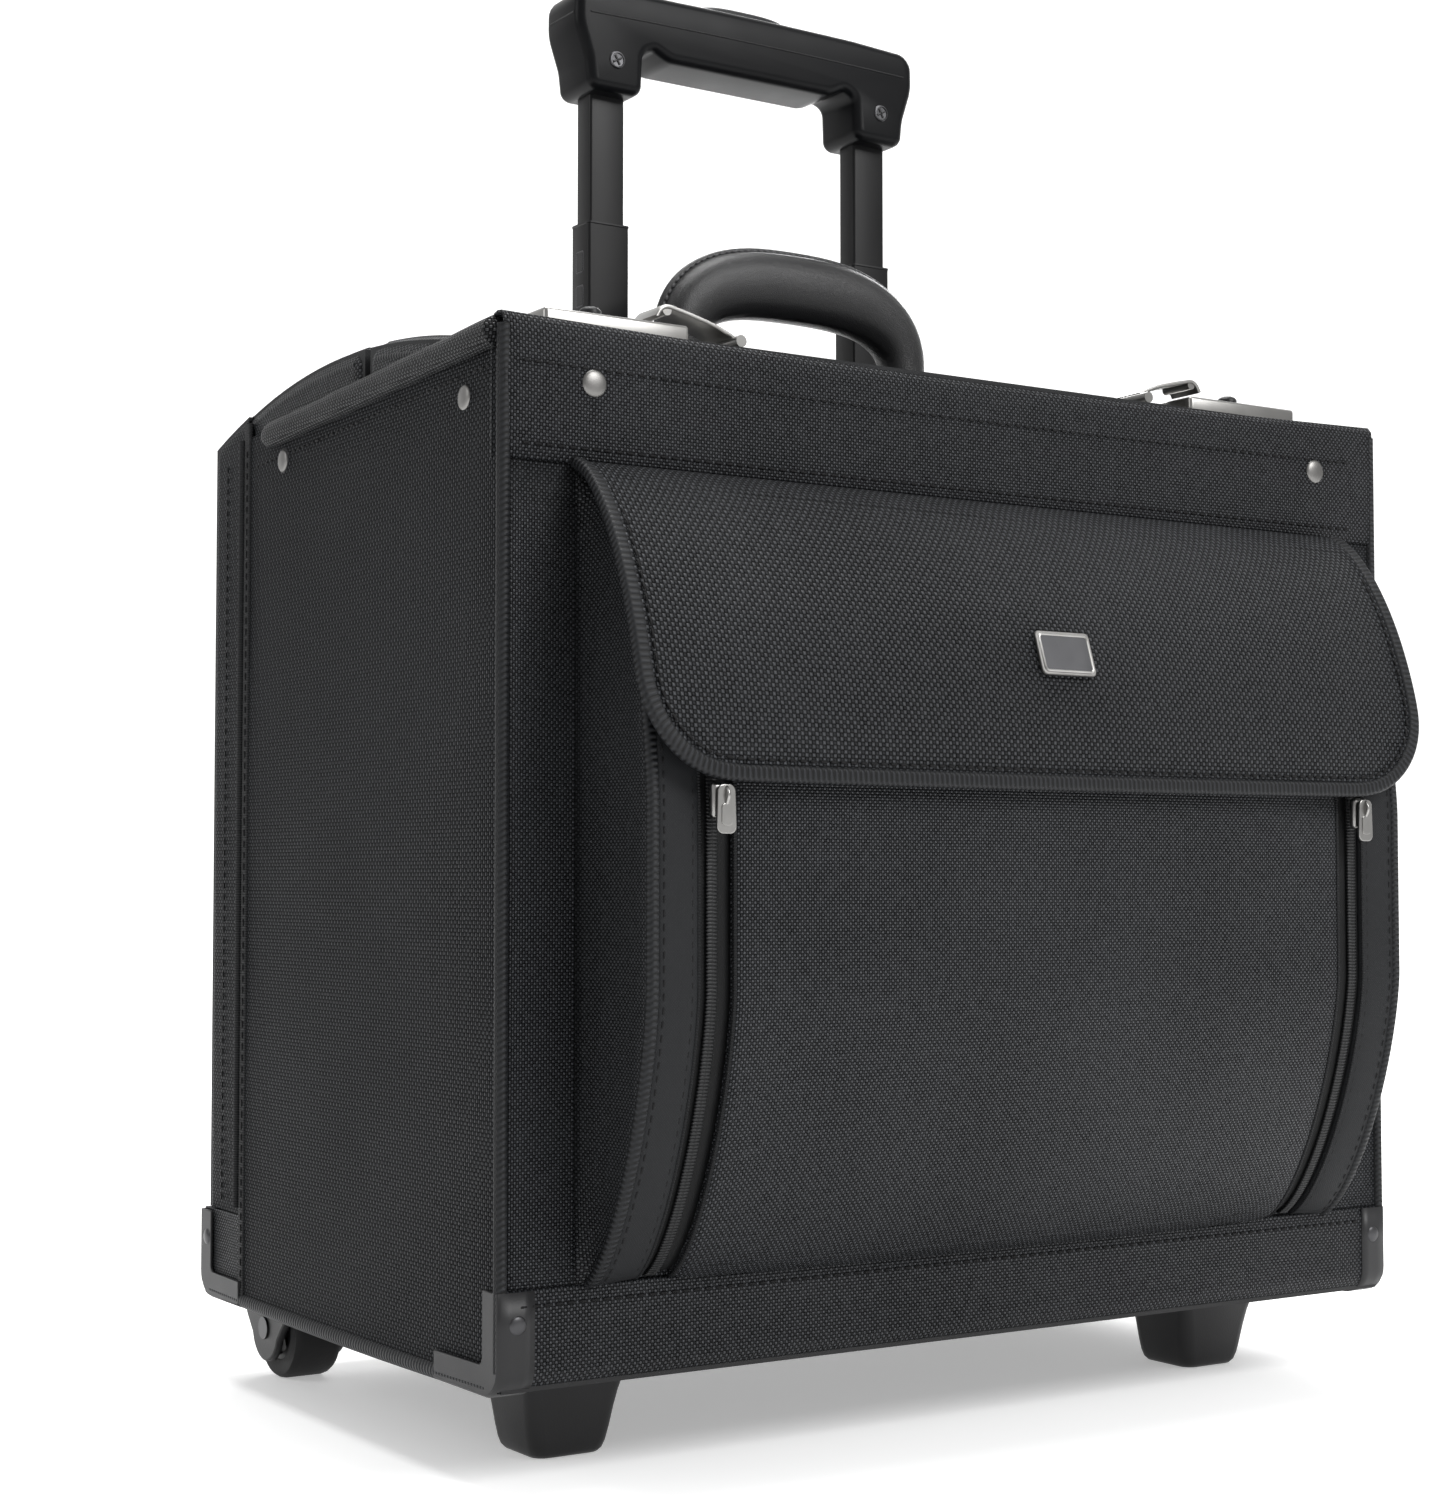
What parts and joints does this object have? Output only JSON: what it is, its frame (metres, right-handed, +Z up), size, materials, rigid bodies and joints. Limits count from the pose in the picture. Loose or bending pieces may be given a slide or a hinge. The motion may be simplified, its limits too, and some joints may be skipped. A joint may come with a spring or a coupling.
{
  "type": "pilot rolling flight case",
  "caption": "Boxy wheeled case with a hinged top lid, flapped front pocket, rear door, padded carry handle and a telescoping trolley grip.",
  "frame": {"origin": "on the floor under the middle of the whole outline, feet and wheels touching z = 0", "axes": "+Z up, +Y to the back of the case, +X to its right seen from the front"},
  "size_m": [0.467, 0.3422, 0.6445],
  "materials": {
    "ballistic_weave": "coarse basket weave nylon",
    "side_weave": "coarse basket weave nylon, darker",
    "flap_weave": "coarse basket weave nylon",
    "board": "pressed board",
    "padded_roll": "smooth coated fabric over piping",
    "nickel": "polished nickel plate",
    "guard_metal": "matte powder coat",
    "moulded_black": "moulded, fine grain",
    "handle_leather": "smooth padded leather",
    "tube_finish": "dark satin anodised",
    "grip_plastic": "moulded satin",
    "button_plastic": "moulded satin",
    "steel": "zinc plated",
    "tyre_rubber": "moulded rubber",
    "zip_tape": "woven tape and coil"
  },
  "bodies": {
    "case": {"front_cover": "ballistic_weave", "front_board": "board", "side_cover_left": "side_weave", "side_cover_right": "side_weave", "side_board_left": "board", "side_board_right": "board", "bulkhead": "board", "channel_board": "board", "front_rim": "board", "base_board": "board", "rear_sill": "board", "deck_cover": "ballistic_weave", "deck_board": "board", "deck_leaf": "steel", "hinge_pin": "steel", "rim_rolls": "padded_roll", "rim_rivets": "nickel", "corner_guard_front_left": "guard_metal", "corner_guard_front_right": "guard_metal", "corner_guard_back_left": "guard_metal", "corner_guard_back_right": "guard_metal", "guard_rivets": "nickel", "foot_left": "moulded_black", "foot_right": "moulded_black", "wheel_housings": "moulded_black", "axle_pins": "steel", "front_pocket": "ballistic_weave", "zip_tapes": "zip_tape", "handle_brackets": "steel", "trolley_well": "moulded_black", "trolley_sleeves": "tube_finish"},
    "lid": {"lid_cover": "ballistic_weave", "lid_board": "board", "lid_leaf": "steel", "lock_case_left": "nickel", "lock_case_right": "nickel"},
    "flap": {"pocket_flap": "flap_weave", "flap_badge": "nickel"},
    "handle": {"carry_handle": "handle_leather"},
    "mid_stage": {"mid_tubes": "tube_finish"},
    "upper_stage": {"upper_tubes": "tube_finish", "grip_front": "grip_plastic", "grip_rear": "grip_plastic", "grip_screws": "nickel"},
    "release": {"grip_button": "button_plastic", "release_rods": "steel"},
    "door": {"rear_door_cover": "ballistic_weave", "rear_door_board": "board"},
    "lever_left": {"lock_lever_left": "nickel"},
    "knob_left": {"lock_knob_left": "moulded_black"},
    "slider_left": {"zip_slider_left": "nickel"},
    "pull_left": {"zip_pull_left": "nickel"},
    "wheel_left": {"wheel_hub_left": "moulded_black", "wheel_tyre_left": "tyre_rubber"},
    "lever_right": {"lock_lever_right": "nickel"},
    "knob_right": {"lock_knob_right": "moulded_black"},
    "slider_right": {"zip_slider_right": "nickel"},
    "pull_right": {"zip_pull_right": "nickel"},
    "wheel_right": {"wheel_hub_right": "moulded_black", "wheel_tyre_right": "tyre_rubber"}
  },
  "joints": [
    {"name": "lid_hinge", "type": "hinge", "parent": "case", "child": "lid", "pos_m": [0, 0.0084, 0.4485], "axis": [-1, 0, 0], "range_deg": [0, 90]},
    {"name": "flap_hinge", "type": "hinge", "parent": "case", "child": "flap", "pos_m": [0, -0.1176, 0.382], "axis": [-1, 0, 0], "range_deg": [0, 90]},
    {"name": "handle_tilt", "type": "hinge", "parent": "case", "child": "handle", "pos_m": [0, 0.0269, 0.458], "axis": [1, 0, 0], "range_deg": [-15, 15]},
    {"name": "mid_slide", "type": "slide", "parent": "case", "child": "mid_stage", "axis": [0, 0, 1], "range_m": [-0.13, 0.18]},
    {"name": "upper_slide", "type": "slide", "parent": "mid_stage", "child": "upper_stage", "axis": [0, 0, 1], "range_m": [-0.0595, 0.24]},
    {"name": "release_press", "type": "slide", "parent": "upper_stage", "child": "release", "axis": [0, 0, -1], "range_m": [0, 0.004], "stiffness_N_per_m": 900, "springref_m": -0.004},
    {"name": "door_hinge", "type": "hinge", "parent": "case", "child": "door", "pos_m": [0, 0.1705, 0.076], "axis": [-1, 0, 0], "range_deg": [0, 90]},
    {"name": "lever_left_lift", "type": "hinge", "parent": "lid", "child": "lever_left", "pos_m": [-0.1095, -0.0811, 0.4416], "axis": [0, 1, 0], "range_deg": [0, 70]},
    {"name": "knob_left_press", "type": "slide", "parent": "lid", "child": "knob_left", "axis": [0, 0, -1], "range_m": [0, 0.003], "stiffness_N_per_m": 300, "springref_m": -0.001},
    {"name": "zip_left_slide", "type": "slide", "parent": "case", "child": "slider_left", "axis": [0, 0, -1], "range_m": [0, 0.06]},
    {"name": "pull_left_swing", "type": "hinge", "parent": "slider_left", "child": "pull_left", "pos_m": [-0.1649, -0.1693, 0.2588], "axis": [-1, 0, 0], "range_deg": [0, 85]},
    {"name": "wheel_left_spin", "type": "hinge", "parent": "case", "child": "wheel_left", "pos_m": [-0.1935, 0.1429, 0.023], "axis": [1, 0, 0], "continuous": true},
    {"name": "lever_right_lift", "type": "hinge", "parent": "lid", "child": "lever_right", "pos_m": [0.1095, -0.0811, 0.4416], "axis": [0, -1, 0], "range_deg": [0, 70]},
    {"name": "knob_right_press", "type": "slide", "parent": "lid", "child": "knob_right", "axis": [0, 0, -1], "range_m": [0, 0.003], "stiffness_N_per_m": 300, "springref_m": -0.001},
    {"name": "zip_right_slide", "type": "slide", "parent": "case", "child": "slider_right", "axis": [0, 0, -1], "range_m": [0, 0.06]},
    {"name": "pull_right_swing", "type": "hinge", "parent": "slider_right", "child": "pull_right", "pos_m": [0.1649, -0.1693, 0.2588], "axis": [-1, 0, 0], "range_deg": [0, 85]},
    {"name": "wheel_right_spin", "type": "hinge", "parent": "case", "child": "wheel_right", "pos_m": [0.1935, 0.1429, 0.023], "axis": [1, 0, 0], "continuous": true}
  ]
}
